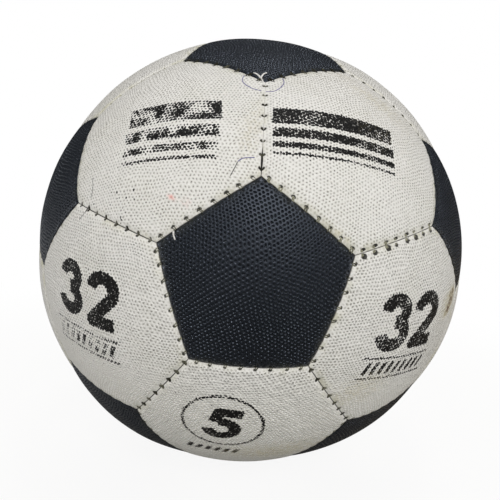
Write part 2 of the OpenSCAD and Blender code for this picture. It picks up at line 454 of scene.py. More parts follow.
# stains in mm on a panel: a brown scuff, yellowed and handled patches, two faint pink rubs, and wide brown patches low
# on hexagons 3 and 4 that are dirt and painted shade
stainsAndShade = {
    "brownStainAndShade": {3: [(33.0, 12.0, 3.4, 3.6, 0, 1.25), (30.2, 7.4, 3.4, 2.2, 30, 0.95), (27.5, 9.5, 7, 7, 0, 0.35),
                      # the wide faint patch: dirt and painted shade towards the ball's lower right
                      (-18, -24, 16, 9, 20, 0.28)],
                  1: [(-17.2, -36.4, 2.6, 1.6, 38, 0.3), (-13.5, -39.0, 2.0, 1.4, 38, 0.25),
                      (15, 24, 15, 6, -35, 0.17), (4, 39, 9, 4, -10, 0.15), (18, 12, 34, 30, 0, 0.1)],
                  2: [(35.5, 3.3, 5, 17, 6, 0.2)],
                  # dirt and painted shade, darker towards the ball's lower right
                  4: [(31, 12, 12, 20, 15, 0.1), (16, -16, 24, 11, 0, 0.4)]},
    "pinkMark": {2: [(13.3, -27.8, 1.8, 0.9, -20, 0.75), (19.2, -28.9, 3.2, 3.0, 0, 0.16)]},
}


# dirt and painted shade in the pits, grime along the seams and how deep the roller went, by panel
handled = {("hexagon", 1): (0.95, 0.45, 0.8), ("hexagon", 2): (0.95, 0.35, 0.8), ("hexagon", 3): (0.9, 0.55, 1.2),
           ("hexagon", 4): (0.7, 0.3, 1.5), ("hexagon", 5): (0.75, 0.4, 1.1)}


# a soft spot: 1 in its middle, falling to 0
def spot(points, at):
    x, y, across, upright, tilt, amount = at
    turn = math.radians(tilt)
    shifted = points - np.array([x, y])
    u = (shifted @ np.array([math.cos(turn), math.sin(turn)])) / across
    v = (shifted @ np.array([-math.sin(turn), math.cos(turn)])) / upright
    return amount * np.exp(-(u ** 2 + v ** 2))


# outside of one panel: points in mm and what the leather needs to know at each of them
def skinSurface(panel, directions):
    n = panel["n"]
    cosine = directions @ panel["axis"]
    height = faceRadius(n, cosine)
    roll = np.zeros(len(directions))
    dent = np.zeros(len(directions))
    pit = np.zeros(len(directions))
    nearest = np.full(len(directions), 99.0)
    for seam, sign in panel["seams"]:
        away = radius * np.arcsin(directions @ (sign * seam["across"]))
        along = radius * np.arctan2(directions @ seam["along"], directions @ seam["middle"])
        rollWidth, drop = seam["roll"]
        shut = 0.0
        if seam["shut"]:
            until, ease = seam["shut"]
            toFront = 1 if seam["along"][1] < 0 else -1
            shut = 1 - smooth(toFront * along, until - ease, until)
        nearest = np.minimum(nearest, away + 0.2 * shut)
        drop = drop * (1 - 0.7 * shut)
        inside = np.clip((rollWidth - away) / (rollWidth - ball["gap"] / 2), 0, 1)
        roll += (drop * (1 - np.sqrt(1 - inside ** 2))) ** 2
        close = away < 4
        whitePull = 1.0 if n == 6 else 0.5
        hole, length, width, bend = seam["hole"][n if seam["slack"] == 1 else sign]
        for place, pull in zip(seam["places"], seam["pull"][sign]):
            beside = along[close] - place - 0.6 * (pull - 1) * (seam["slack"] > 1)  # torn off its place
            off = (beside / length) ** 2 + ((away[close] - hole + bend * beside ** 2) / width) ** 2
            dent[close] += 0.5 * pull * whitePull * np.exp(-off)
            wide = (beside / 1.6) ** 2 + ((away[close] - 0.6) / 1.8) ** 2
            dent[close] += 0.16 * pull * np.exp(-wide)
            pit[close] = np.maximum(pit[close], pull * np.exp(-off))
    roll = np.sqrt(roll)
    bulge = np.zeros(len(directions))
    for k in range(5):
        pitch = random.uniform(18, 40)
        wave = directions @ unit(random.normal(size=3)) * radius * 2 * math.pi / pitch
        bulge += np.cos(wave + random.uniform(0, 6.3)) / 5
    bulge *= ball["unevenness"] * smooth(nearest, 0, 10)
    return height + swollen(directions) - roll - dent + bulge, nearest, pit


# flat places on the panel in mm, measured along its face
def flatPlaces(panel, directions):
    tilt = np.arccos(np.clip(directions @ panel["axis"], -1, 1))
    scale = radius * np.where(tilt > 1e-6, tilt / np.maximum(np.sin(tilt), 1e-9), 1)
    return np.stack([directions @ panel["right"], directions @ panel["up"]], 1) * scale[:, None]


valve = {
    "neck": 9.0,        # rubber neck in the panel
    "hole": 9.2,        # in the cover
    "mouth": 0.6,       # how far the neck stays below the face
    "flange": 28.0,
    "stem": 11.0,
    "stemLength": 15.0,
    "plug": 4.6,
    "head": 6.8,
    "headHeight": 1.6,
    "tip": 1.0,
    "needle": 2.0,
    "needleDepth": 12.0,
    "room": 0.05,
}


# PU synthetic leather: polyurethane film on cloth, embossed by a roller with close round pits.
# The eye sees rows of fine dots that wander a little, dirt held in the pits, a satin film on the
# ridges between them, grime and yellowing along the seams, and dark needle holes at the edge.
# The pits' dark colour is dirt and painted shade, and low on the ball the pits are painted light as
# painted highlights; the holes and the seams' gaps are painted dark as shade.
embossing = {
    "drift": 19.0,     # mm over which the rows wander
    "driftBy": 2.4,    # mm
    "jitter": 1.7,
    "jitterBy": 0.4,
    "flat": (0.7, 2.2),  # mm from a seam where it is pressed flat, and where it is whole
}
whiteLook = {
    "name": "PU leather, white, embossed",
    "face": "#dcd9d3", "faceAged": "#d3d0c7", "ridge": "#e6e4df",
    # pits painted darker: dirt, and painted shade in the hollows
    "pit": "#5f5c52", "pitDarkest": 0.85, "dot": (0.1, 0.34),
    # low on the ball: the net's tone, the pits painted light as painted highlights, and the size of those light dots
    "paintedLitPits": "#d8d5cc", "paintedPitHighlight": "#fdfcf9", "paintedHighlightDot": (0.24, 0.5),
    "grime": "#b0ac84", "hole": "#1b1910",
    "pitch": 1.46,                    # mm between pits
    "pitReach": 0.62, "depth": 0.32,  # mm from a pit's middle to the top of its ridge, and down from there
    "roughness": (0.3, 0.42), "scuffed": 0.58, "gloss": 0.42, "glossTint": "#ffffff", "printed": True,
}
blackLook = {
    "name": "PU leather, black, embossed",
    # on the black the ridges are a little lighter and the pits darker than the face: painted sheen and painted shade of
    # the relief
    "face": "#101318", "faceAged": "#15181e", "ridge": "#14171c",
    "pit": "#0c0e11", "pitDarkest": 0.4, "dot": (0.2, 0.55),
    "grime": "#2f2f27", "hole": "#100f08",
    "pitch": 1.57,
    "pitReach": 0.62, "depth": 0.38,
    "cell": 0.33, "sharpened": 0.2,  # mesh that models the pits, and relief it rounds off
    "roughness": (0.18, 0.27), "scuffed": 0.52, "gloss": 1.0, "glossTint": "#dfebff", "printed": False,
}
inkLook = {
    "colour": "#0d0c0b", "roughness": 0.6,
    "edge": 0.5,                   # mm by which its edge is ragged
    "fresh": 0.86, "worn": 0.1,    # mm of ink left round a pit
    "grit": 0.8, "salt": 0.8,      # grain of its specks, and mm by which that varies what is left
    "scallop": (0.45, 1.0),        # the edge stands out round a pit: mm from its middle, and how much
}


# rows that wander, and pits a little off their places
def wandered(grain):
    moved = grain.copy()
    for length, by, count in ((1.6 * embossing["drift"], 0.35 * embossing["driftBy"], 3),
                              (2.0 * embossing["jitter"], 0.25 * embossing["jitterBy"], 5)):
        for k in range(count):
            wave = unit(random.normal(size=2)) * 2 * math.pi / (length * random.uniform(0.8, 1.4))
            moved += by * np.sin(grain @ wave + random.uniform(0, 6.3))[:, None] * unit(random.normal(size=2))
    return moved


# how far the embossed pits go down, mm
def embossed(look, grain, nearest):
    cell = np.array([look["pitch"], look["pitch"] * math.sqrt(3)])
    away = np.min([np.linalg.norm(((grain / cell + shift) % 1 - 0.5) * cell, axis=1) for shift in (0.5, 0)], 0)
    bowl = 0.5 + 0.5 * np.cos(math.pi * np.clip(away / look["pitReach"], 0, 1))
    uneven = 1 + 0.3 * np.sin(grain[:, 0] * 2.1) * np.sin(grain[:, 1] * 1.7)
    return look["depth"] * bowl * uneven * (0.1 + 0.9 * smooth(nearest, *embossing["flat"]))


def skinPanel(panel, material, widest):
    n = panel["n"]
    first = panel["seams"][0]
    toSide = first[0]["across"] * -first[1]
    side = unit(toSide - panel["axis"] * (toSide @ panel["axis"]))
    other = np.cross(panel["axis"], side)
    rows = rowsToSide(n, widest)
    flat, faces, rim = kiteGrid(n, rows, ball["gap"] / 2)
    hasValve = panel["word"] == "pentagon" and panel["number"] == 12
    holeSize = math.tan(valve["hole"] / 2 / radius)
    if hasValve:  # rings from the valve's hole out to the sides
        rimFlat = flat[rim]
        hole = holeSize * rimFlat / np.linalg.norm(rimFlat, axis=1)[:, None]
        flat = np.concatenate([hole + w * (rimFlat - hole) for w in rows])
        rings = np.arange(len(flat)).reshape(len(rows), -1)
        faces = ringFaces(rings[::-1])
        rim = rings[-1]
    directions = flat[:, :1] * side + flat[:, 1:] * other + panel["axis"]
    directions /= np.linalg.norm(directions, axis=1)[:, None]
    height, nearest, pit = skinSurface(panel, directions)
    turn = random.uniform(0, 2 * math.pi)
    if panel["word"] == "pentagon" and panel["number"] in ball["grainToFront"]:
        turn = -math.atan2(pentagonAxes[0] @ panel["up"], pentagonAxes[0] @ panel["right"])
    spin = np.array([[math.cos(turn), math.sin(turn)], [-math.sin(turn), math.cos(turn)]])
    grainStart = random.uniform(40, 400, 2)
    if n == 5:
        grain = wandered(flatPlaces(panel, directions) @ spin + grainStart)
        height -= embossed(blackLook, grain, nearest)
    if hasValve:
        away = radius * np.arctan(np.linalg.norm(flat, axis=1)) - valve["hole"] / 2
        height -= 0.7 * (1 - np.sqrt(1 - np.clip(1 - away / 1.2, 0, 1) ** 2))
    # the hem turned in round the sides, then the back of the skin
    reach = math.tan(sideAngle(n))
    hemInside = 1 - ball["hem"] / radius / reach
    backRows = [(1, liningInside), (hemInside, liningInside), (hemInside, skinInside)]
    backRows += [(hemInside * s, skinInside) for s in ((0.66, 0.33) if not hasValve else (0.6,))]
    rimFlat = flat[rim]
    backFlat = [rimFlat * s for s, r in backRows]
    backHeight = [np.full(len(rim), r) for s, r in backRows]
    if hasValve:
        backFlat.append(holeSize * rimFlat / np.linalg.norm(rimFlat, axis=1)[:, None])
    else:
        backFlat.append(np.zeros((1, 2)))
    backHeight.append(np.full(len(backFlat[-1]), skinInside))
    backRings = []
    start = len(flat)
    for ring in backFlat:
        backRings.append(start + np.arange(len(ring)))
        start += len(ring)
    backFlat = np.concatenate(backFlat)
    backHeight = np.concatenate(backHeight)
    backDirections = backFlat[:, :1] * side + backFlat[:, 1:] * other + panel["axis"]
    backDirections /= np.linalg.norm(backDirections, axis=1)[:, None]
    allDirections = np.concatenate([directions, backDirections])
    points = drawnBack(panel, allDirections) * np.concatenate([height, backHeight])[:, None]
    if hasValve:
        back = ringFaces([rim] + backRings + [rings[0]])
        fan = np.zeros((0, 3), dtype=int)
    else:
        back = ringFaces([rim] + backRings[:-1])
        last = backRings[-2]
        fan = np.stack([np.full(len(last), backRings[-1][0]), np.roll(last, -1), last], 1)
    allFaces = faces.tolist() + back.tolist() + fan.tolist()
    # what the leather reads: its own place in the grain, how near a seam, a stitch or a print is
    places = flatPlaces(panel, allDirections)
    laid = places @ spin + grainStart
    if n == 5:
        laid[:len(flat)] = grain
    grain = np.concatenate([laid, np.full((len(places), 1), random.uniform(0, 300))], 1)
    # behind the face the hem and back read as inside the seam, so they are painted dark as shade
    behind = np.zeros(len(backFlat))
    attributes = {
        "grainMm": grain,
        "edgeMm": np.concatenate([nearest, behind]),
        "stitchPit": np.concatenate([pit, behind]),
    }
    pitDirtAndShade, grime, rolled = handled.get((panel["word"], panel["number"]), (1.0, 0.6, 1.0))
    fromFront = smooth(-allDirections[:, 1], 0.35, 0.75)  # it is handled more in front
    above = smooth(allDirections[:, 2], -0.52, -0.28)
    attributes["pitDirtAndShade"] = pitDirtAndShade * (0.65 + 0.35 * fromFront) * above
    attributes["paintedLitPits"] = 1 - above  # below, the pits are painted light on a darker net: painted highlights on the pits' lower walls, as if lit from above
    attributes["grime"] = np.full(len(places), grime)
    attributes["rolled"] = np.full(len(places), rolled)
    if panel["word"] == "hexagon":
        ink = np.full(len(places), -9.0)
        wear = np.zeros(len(places))
        for mark in printedMarks.get(panel["number"], []):
            depth = markDepth(places, mark)
            wear = np.where(depth > ink, mark["wear"], wear)
            ink = np.maximum(ink, depth)
        ink[len(flat):] = -9.0
        attributes["inkMm"] = ink
        attributes["inkWear"] = wear
        for name, table in stainsAndShade.items():
            total = np.zeros(len(places))
            for at in table.get(panel["number"], []):
                total += spot(places, at)
            attributes[name] = total
    # the face is laid out flat for baking, the hem and back shrink into a corner
    span = 0.47 / np.max(np.linalg.norm(flat, axis=1))
    faceMap = 0.5 + flat * span
    turns = np.linspace(0, 2 * math.pi, len(rim), endpoint=False)
    circle = np.stack([np.cos(turns), np.sin(turns)], 1)
    levels = [rim] + backRings
    cornerMap = [faceMap[faces].reshape(-1, 2)]
    quadLevels = len(back) // len(rim)
    for level in range(quadLevels):
        outer = 0.085 * (1 - level / (quadLevels + 1))
        inner = 0.085 * (1 - (level + 1) / (quadLevels + 1))
        quad = np.stack([inner * circle, inner * np.roll(circle, -1, 0),
                         outer * np.roll(circle, -1, 0), outer * circle], 1)
        cornerMap.append((0.095 + quad).reshape(-1, 2))
    if len(fan):
        tip = 0.085 / (quadLevels + 1) * np.stack([0 * circle, np.roll(circle, -1, 0), circle], 1)
        cornerMap.append((0.095 + tip).reshape(-1, 2))
    name = f"{panel['word']}Panel{panel['number']:02d}"
    piece = addMesh(name, points, allFaces, material, attributes, np.concatenate(cornerMap))
    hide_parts(f"{panel['word']}_panel_{panel['number']}")
    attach(piece, "ball")
    return piece


def puLeather(look):
    material, tree = newMaterial(look["name"])
    grain = addNode(tree, "Attribute", out="Vector", attribute_name="grainMm")
    edge = addNode(tree, "Attribute", out="Fac", attribute_name="edgeMm")
    stitch = addNode(tree, "Attribute", out="Fac", attribute_name="stitchPit")
    half = (0.5, 0.5, 0.5)
    # rows wander and each pit sits a little off its place; where the pits are modelled the grain has that already
    modelled = "cell" in look
    place = grain
    for name, detail in () if modelled else (("drift", 1.0), ("jitter", 0.0)):
        shift = addNode(tree, "TexNoise", {"Vector": grain, "Scale": 1 / embossing[name], "Detail": detail}, out="Color")
        shift = addNode(tree, "VectorMath", [shift, half], operation="SUBTRACT")
        place = addNode(tree, "VectorMath", [shift, (2 * embossing[name + "By"],) * 3, place], operation="MULTIPLY_ADD")
    place = addNode(tree, "VectorMath", [place, (1.0, 1.0, 0.0)], operation="MULTIPLY")
    # two crossed square-cornered rows make the close packing of round pits
    cell = (look["pitch"] / 2, look["pitch"] * math.sqrt(3) / 2, 0)
    back = tuple(-c for c in cell)
    oneRow = addNode(tree, "VectorMath", [place, cell, back], operation="WRAP")
    oneRow = addNode(tree, "VectorMath", [oneRow], operation="LENGTH")
    moved = addNode(tree, "VectorMath", [place, cell], operation="ADD")
    nextRow = addNode(tree, "VectorMath", [moved, cell, back], operation="WRAP")
    nextRow = addNode(tree, "VectorMath", [nextRow], operation="LENGTH")
    away = addNode(tree, "Math", [oneRow, nextRow], operation="MINIMUM")
    # the embossing is pressed flat where the skin rolls into a seam
    kept = addNode(tree, "MapRange", [edge, *embossing["flat"], 0.15, 1.0], interpolation_type="SMOOTHSTEP")
    ridge = addNode(tree, "MapRange", [away, 0.0, look["pitReach"], 0.0, 1.0])
    ridge = addNode(tree, "Math", [ridge, 2.0], operation="POWER")
    mottle = addNode(tree, "TexNoise", {"Vector": grain, "Scale": 1 / 22, "Detail": 4.0,
                                        "Roughness": 0.6}, out="Fac")
    patch = addNode(tree, "TexNoise", {"Vector": grain, "Scale": 1 / 5.5, "Detail": 3.0}, out="Fac")
    aged = addNode(tree, "MapRange", [mottle, 0.4, 0.66, 0.0, 1.0])
    colour = addNode(tree, "Mix", [aged, look["face"], look["faceAged"]], data_type="RGBA")
    # ridge tops take their own tone; on the black it is a painted sheen, lighter than the face
    worn = addNode(tree, "MapRange", [ridge, 0.75, 1.0, 0.0, 0.8])
    colour = addNode(tree, "Mix", [worn, colour, look["ridge"]], data_type="RGBA")
    # dirt and painted shade in the pits of the white, painted shade in those of the black, more of it in some patches
    dot = addNode(tree, "MapRange", [away, look["dot"][0], look["dot"][1], look["pitDarkest"], 0.0],
                  interpolation_type="SMOOTHSTEP")
    dirtAndShadeInPits = addNode(tree, "MapRange", [patch, 0.3, 0.62, 0.35, 1.0])
    pitDirtAndShade = addNode(tree, "Attribute", out="Fac", attribute_name="pitDirtAndShade")
    dirtAndShadeInPits = addNode(tree, "Math", [dirtAndShadeInPits, pitDirtAndShade], operation="MULTIPLY")
    dot = addNode(tree, "Math", [dot, dirtAndShadeInPits], operation="MULTIPLY")
    dot = addNode(tree, "Math", [dot, kept], operation="MULTIPLY")
    colour = addNode(tree, "Mix", [dot, colour, look["pit"]], data_type="RGBA")
    # painted highlights: low on the ball the pits are painted near white on a darker net, as if their lower walls
    # caught the light
    if "paintedLitPits" in look:
        paintedLitPits = addNode(tree, "Attribute", out="Fac", attribute_name="paintedLitPits")
        paintedLitPits = addNode(tree, "Math", [paintedLitPits, kept], operation="MULTIPLY")
        inside = addNode(tree, "MapRange", [away, *look["paintedHighlightDot"], 1.0, 0.0], interpolation_type="SMOOTHSTEP")
        tone = addNode(tree, "Mix", [inside, look["paintedLitPits"], look["paintedPitHighlight"]], data_type="RGBA")
        colour = addNode(tree, "Mix", [paintedLitPits, colour, tone], data_type="RGBA")
    # grime along the seams
    near = addNode(tree, "MapRange", [edge, 0.3, 4.5, 0.8, 0.0], interpolation_type="SMOOTHSTEP")
    grime = addNode(tree, "Attribute", out="Fac", attribute_name="grime")
    near = addNode(tree, "Math", [near, grime], operation="MULTIPLY")
    streak = addNode(tree, "MapRange", [patch, 0.38, 0.62, 0.1, 1.0])
    near = addNode(tree, "Math", [near, streak], operation="MULTIPLY")
    grimy = addNode(tree, "MapRange", [mottle, 0.42, 0.6, 0.15, 1.0])
    near = addNode(tree, "Math", [near, grimy], operation="MULTIPLY")
    colour = addNode(tree, "Mix", [near, colour, look["grime"]], data_type="RGBA")
    shine = addNode(tree, "MapRange", [patch, 0.3, 0.7, look["roughness"][0], look["roughness"][1]])
    shine = addNode(tree, "Mix", [worn, shine, look["scuffed"]])
    if look["printed"]:
        # screen-printed ink: wear takes it off the ridges first, and dots of it stay in the pits
        ink = addNode(tree, "Attribute", out="Fac", attribute_name="inkMm")
        wear = addNode(tree, "Attribute", out="Fac", attribute_name="inkWear")
        rough = addNode(tree, "TexNoise", {"Vector": grain, "Scale": 1 / inkLook["grit"], "Detail": 1.0}, out="Fac")
        rough = addNode(tree, "Math", [rough, 0.5], operation="SUBTRACT")
        depth = addNode(tree, "Math", [rough, inkLook["edge"] * 2, ink], operation="MULTIPLY_ADD")
        bulge = addNode(tree, "Math", [inkLook["scallop"][0], away], operation="SUBTRACT")
        depth = addNode(tree, "Math", [bulge, inkLook["scallop"][1], depth], operation="MULTIPLY_ADD")
        inside = addNode(tree, "MapRange", [depth, -0.06, 0.08, 0.0, 1.0])
        rub = addNode(tree, "TexNoise", {"Vector": grain, "Scale": 1 / 7, "Detail": 3.0,
                                         "Roughness": 0.7}, out="Fac")
        rub = addNode(tree, "MapRange", [rub, 0.4, 0.72, 0.0, 3.0])
        rub = addNode(tree, "Math", [rub, wear], operation="MULTIPLY")
        held = addNode(tree, "MapRange", [rub, 0.0, 1.0, inkLook["fresh"], inkLook["worn"]])
        held = addNode(tree, "Math", [rough, inkLook["salt"], held], operation="MULTIPLY_ADD")
        left = addNode(tree, "Math", [held, away], operation="SUBTRACT")
        left = addNode(tree, "MapRange", [left, -0.05, 0.05, 0.0, 1.0])
        inside = addNode(tree, "Math", [inside, left], operation="MULTIPLY")
        # a few pits beside the print hold ink too
        stray = addNode(tree, "TexNoise", {"Vector": grain, "Scale": 1 / 1.7, "Detail": 0.0}, out="Fac")
        beside = addNode(tree, "MapRange", [ink, -6.0, 0.0, -0.16, 0.0])
        stray = addNode(tree, "Math", [stray, beside], operation="ADD")
        stray = addNode(tree, "MapRange", [stray, 0.62, 0.66, 0.0, 1.0])
        inPit = addNode(tree, "MapRange", [away, 0.2, 0.32, 0.9, 0.0])
        stray = addNode(tree, "Math", [stray, inPit], operation="MULTIPLY")
        inside = addNode(tree, "Math", [inside, stray], operation="MAXIMUM")
        colour = addNode(tree, "Mix", [inside, colour, inkLook["colour"]], data_type="RGBA")
        shine = addNode(tree, "Mix", [inside, shine, inkLook["roughness"]])
        broken = addNode(tree, "TexNoise", {"Vector": grain, "Scale": 1 / 1.4, "Detail": 2.0}, out="Fac")
        broken = addNode(tree, "MapRange", [broken, 0.36, 0.62, 0.3, 1.0])
        # the brown marks are stains, and on hexagons 3 and 4 partly painted shade
        for name, faint, strong in (("brownStainAndShade", "#b8ab7c", "#5f452b"), ("pinkMark", "#ecb3aa", "#e58f86")):
            mark = addNode(tree, "Attribute", out="Fac", attribute_name=name)
            mark = addNode(tree, "Math", [mark, broken], operation="MULTIPLY")
            deep = addNode(tree, "MapRange", [mark, 0.4, 0.75, 0.0, 1.0])
            tint = addNode(tree, "Mix", [deep, faint, strong], data_type="RGBA")
            mark = addNode(tree, "MapRange", [mark, 0.05, 0.6, 0.0, 0.85])
            colour = addNode(tree, "Mix", [mark, colour, tint], data_type="RGBA")
    # needle holes, ragged, and the inside of a seam, painted dark: painted shade in the holes, in the gap and on the
    # turned-in hem
    ragged = addNode(tree, "TexNoise", {"Vector": grain, "Scale": 1 / 0.8, "Detail": 2.0}, out="Fac")
    hole = addNode(tree, "Math", [ragged, 0.5, stitch], operation="MULTIPLY_ADD")
    hole = addNode(tree, "MapRange", [hole, 0.66, 0.86, 0.0, 0.94])
    seamGapShade = addNode(tree, "MapRange", [edge, 0.04, 0.24, 0.9, 0.0])
    hole = addNode(tree, "Math", [hole, seamGapShade], operation="MAXIMUM")
    colour = addNode(tree, "Mix", [hole, colour, look["hole"]], data_type="RGBA")
    # relief in mm: the fine crackle of the film and the embossed pits, or what the mesh doesn't hold of them
    film = addNode(tree, "TexNoise", {"Vector": grain, "Scale": 1 / 0.45, "Detail": 2.0}, out="Fac")
    relief = addNode(tree, "Math", [film, 0.02], operation="MULTIPLY")
    if modelled:
        pressed = addNode(tree, "MapRange", [away, 0.0, look["pitReach"], 0.0, look["sharpened"]],
                          interpolation_type="SMOOTHSTEP")
        relief = addNode(tree, "Math", [pressed, kept, relief], operation="MULTIPLY_ADD")
    else:
        uneven = addNode(tree, "TexNoise", {"Vector": grain, "Scale": 1 / 2.4, "Detail": 1.0}, out="Fac")
        uneven = addNode(tree, "MapRange", [uneven, 0.3, 0.7, 0.6 * look["depth"], 1.4 * look["depth"]])
        rolled = addNode(tree, "Attribute", out="Fac", attribute_name="rolled")
        uneven = addNode(tree, "Math", [uneven, rolled], operation="MULTIPLY")
        bowl = addNode(tree, "MapRange", [away, 0.0, look["pitReach"], 0.0, 1.0], interpolation_type="SMOOTHSTEP")
        pressed = addNode(tree, "Math", [bowl, kept], operation="MULTIPLY")
        relief = addNode(tree, "Math", [pressed, uneven, relief], operation="MULTIPLY_ADD")
    normal = addNode(tree, "Bump", {"Height": relief, "Distance": mm, "Strength": 1.0})
    surface = addNode(tree, "BsdfPrincipled", {
        "Base Color": colour, "Roughness": shine, "Normal": normal,
        "IOR": 1.46, "Specular IOR Level": look["gloss"], "Specular Tint": look["glossTint"]})
    addNode(tree, "OutputMaterial", {"Surface": surface})
    return material


panelPieces = {}
materials = {5: puLeather(blackLook), 6: puLeather(whiteLook)}
for panel in panels:
    printed = panel["word"] == "hexagon" and panel["number"] in printedMarks
    widest = blackLook["cell"] if panel["n"] == 5 else 0.62 if printed else 0.9
    piece = skinPanel(panel, materials[panel["n"]], widest if panel["number"] != 12 or panel["n"] == 6 else 0.5)
    panelPieces[panel["word"], panel["number"]] = piece
print("skin:", sum(len(p.data.polygons) for p in panelPieces.values()), "faces")


# a round strand through the given points, closed at both ends
def strand(points, thickness, sides=7):
    points = np.asarray(points, float)
    tangent = np.gradient(points, axis=0)
    tangent /= np.linalg.norm(tangent, axis=1)[:, None]
    outward = points / np.linalg.norm(points, axis=1)[:, None]
    outward -= tangent * np.sum(outward * tangent, 1)[:, None]
    outward /= np.linalg.norm(outward, axis=1)[:, None]
    beside = np.cross(tangent, outward)
    turns = 2 * math.pi * np.arange(sides) / sides
    ring = np.cos(turns)[None, :, None] * outward[:, None] + np.sin(turns)[None, :, None] * beside[:, None]
    thick = np.broadcast_to(np.asarray(thickness, float), len(points))
    body = points[:, None] + ring * (thick / 2)[:, None, None]
    count = len(points)
    rings = np.arange(count * sides).reshape(count, sides)
    faces = ringFaces(rings).tolist()
    faces.append(rings[0][::-1].tolist())
    faces.append(rings[-1].tolist())
    length = np.concatenate([[0], np.cumsum(np.linalg.norm(np.diff(points, axis=0), axis=1))])
    lay = np.stack([np.repeat(length, sides), np.tile(turns, count)], 1)
    return body.reshape(-1, 3), faces, lay


# points between the given ones on a smooth curve
def smoothPath(points, steps=6):
    points = [np.asarray(p, float) for p in points]
    ends = [2 * points[0] - points[1]] + points + [2 * points[-1] - points[-2]]
    path = []
    for a, b, c, d in zip(ends[:-3], ends[1:-2], ends[2:-1], ends[3:]):
        for t in np.arange(steps) / steps:
            path.append(0.5 * (2 * b + (c - a) * t + (2 * a - 5 * b + 4 * c - d) * t ** 2
                               + (3 * b - a - 3 * c + d) * t ** 3))
    return np.array(path + [points[-1]])


# several strands joined into one mesh
def strandMesh(name, strands, material):
    points, faces, lays = [], [], []
    start = 0
    for (body, skin, lay), tone in strands:
        points.append(body)
        faces += [[start + k for k in f] for f in skin]
        lays.append(np.concatenate([lay, np.full((len(lay), 1), tone)], 1))
        start += len(body)
    return addMesh(name, np.concatenate(points), faces, material, {"threadLay": np.concatenate(lays)})


# waxed polyester thread: plied strands laid round each other and drawn through wax, which takes up dirt.
# The eye sees a fine rope twist, dull olive and grey, darker where it goes down into the hole.
threadLook = {
    "twist": 0.9,       # mm for one turn of the ply
    "clean": "#a5a38c", "dirty": "#2a2819", "plyShade": "#17150e",
}


def waxedThread(name, clean, dirty, plyShade):
    material, tree = newMaterial(name)
    lay = addNode(tree, "Attribute", out="Vector", attribute_name="threadLay")
    parts = tree.nodes.new("ShaderNodeSeparateXYZ")
    tree.links.new(lay, parts.inputs[0])
    along = addNode(tree, "Math", [parts.outputs[0], 2 * math.pi / threadLook["twist"], parts.outputs[1]],
                    operation="MULTIPLY_ADD")
    ply = addNode(tree, "Math", [along], operation="SINE")
    ply = addNode(tree, "MapRange", [ply, -1.0, 1.0, 0.0, 1.0])
    where = addNode(tree, "TexCoord", out="Object")
    dirt = addNode(tree, "TexNoise", {"Vector": where, "Scale": 1 / (9 * mm), "Detail": 3.0}, out="Fac")
    dirt = addNode(tree, "Math", [dirt, parts.outputs[2]], operation="ADD")
    dirt = addNode(tree, "MapRange", [dirt, 0.35, 1.2, 0.0, 1.0])
    colour = addNode(tree, "Mix", [dirt, dirty, clean], data_type="RGBA")
    # painted shade in the grooves between the plies
    shade = addNode(tree, "MapRange", [ply, 0.0, 0.45, 0.6, 0.0])
    colour = addNode(tree, "Mix", [shade, colour, plyShade], data_type="RGBA")
    relief = addNode(tree, "Math", [ply, 0.09], operation="MULTIPLY")
    normal = addNode(tree, "Bump", {"Height": relief, "Distance": mm})
    surface = addNode(tree, "BsdfPrincipled", {
        "Base Color": colour, "Roughness": 0.62, "Normal": normal, "IOR": 1.54, "Specular IOR Level": 0.3})
    addNode(tree, "OutputMaterial", {"Surface": surface})
    return material


# a stitch, as mm from the seam, along it, and under the face. Between white panels a strand from each hole
# slants into the gap, so that the two make a V; beside a black panel two strands lean over from the white
# panel's hole; on a seam worn open they cross straight over.
stitch = {
    "hexagon": {
        "away": [1.15, 0.85, 0.64, 0.48, 0.32, 0.14, 0.0],
        "along": [0.0, 0.0, 0.06, 0.35, 0.7, 1.0, 1.2],
        "below": [1.7, 1.0, 0.42, 0.3, 0.34, 0.55, 1.1],
        "thickness": 0.72, "apart": 0.0, "clean": -0.06, "steps": 3, "sides": 7,
        "stout": {(4, 5): 1.0, (3, 4): 0.85, (2, 5): 0.52, (1, 2): 0.6},  # thicker or thinner on these seams
        "faded": (0.5, 0.6),
    },
    "pentagon": {
        "away": [1.3, 1.1, 0.9, 0.68, 0.43, 0.18, -0.1, -0.35, -0.6],  # times the hole's place
        "along": [0.0, 0.0, 0.05, 0.15, 0.3, 0.5, 0.7, 0.8, 0.9],
        "below": [1.9, 1.1, 0.5, 0.3, 0.34, 0.6, 0.86, 1.1, 1.6],
        "thickness": 0.42, "apart": 0.42, "clean": 0.2, "steps": 2, "sides": 6,
        "front": {1: (0.58, 0.5), 2: (0.36, 0.1), 3: (0.44, 0.25), 4: (0.38, 0.2), 5: (0.42, 0.35)},
    },
    "loose": {
        "away": [1.1, 0.9, 0.6, 0.25, -0.1, -0.5, -0.9, -1.3, -1.6],
        "along": [0.0, 0.0, 0.1, 0.2, 0.35, 0.5, 0.6, 0.65, 0.7],
        "below": [1.8, 0.9, 0.4, 0.3, 0.42, 0.28, 0.1, 0.5, 1.6],
        "thickness": 0.5, "apart": 0.42, "clean": -0.2, "steps": 2, "sides": 6,
    },
    "open": {
        "away": [1.8, 1.4, 1.05, 0.7, 0.35, 0.0, -0.35, -0.7, -1.05, -1.4, -1.8],
        "along": [0.0] * 11,
        "below": [1.9, 1.0, 0.4, 0.32, 0.6, 0.85, 0.6, 0.32, 0.4, 1.0, 1.9],
        "thickness": 0.5, "apart": 0.34, "clean": 0.75, "sink": 0.35, "steps": 3, "sides": 7,
    },
}


# a path beside a seam: mm from it, along it, under the face
def seamPath(seam, away, along, depth):
    turn = along[:, None] / radius
    tilt = away[:, None] / radius
    base = np.cos(turn) * seam["middle"] + np.sin(turn) * seam["along"]
    directions = np.cos(tilt) * base + np.sin(tilt) * seam["across"]
    fall = edgeRadius - 0.3 * (2 * along / (seamArc * radius)) ** 2 + swollen(directions)
    return bowed(directions) * (fall - depth)[:, None]


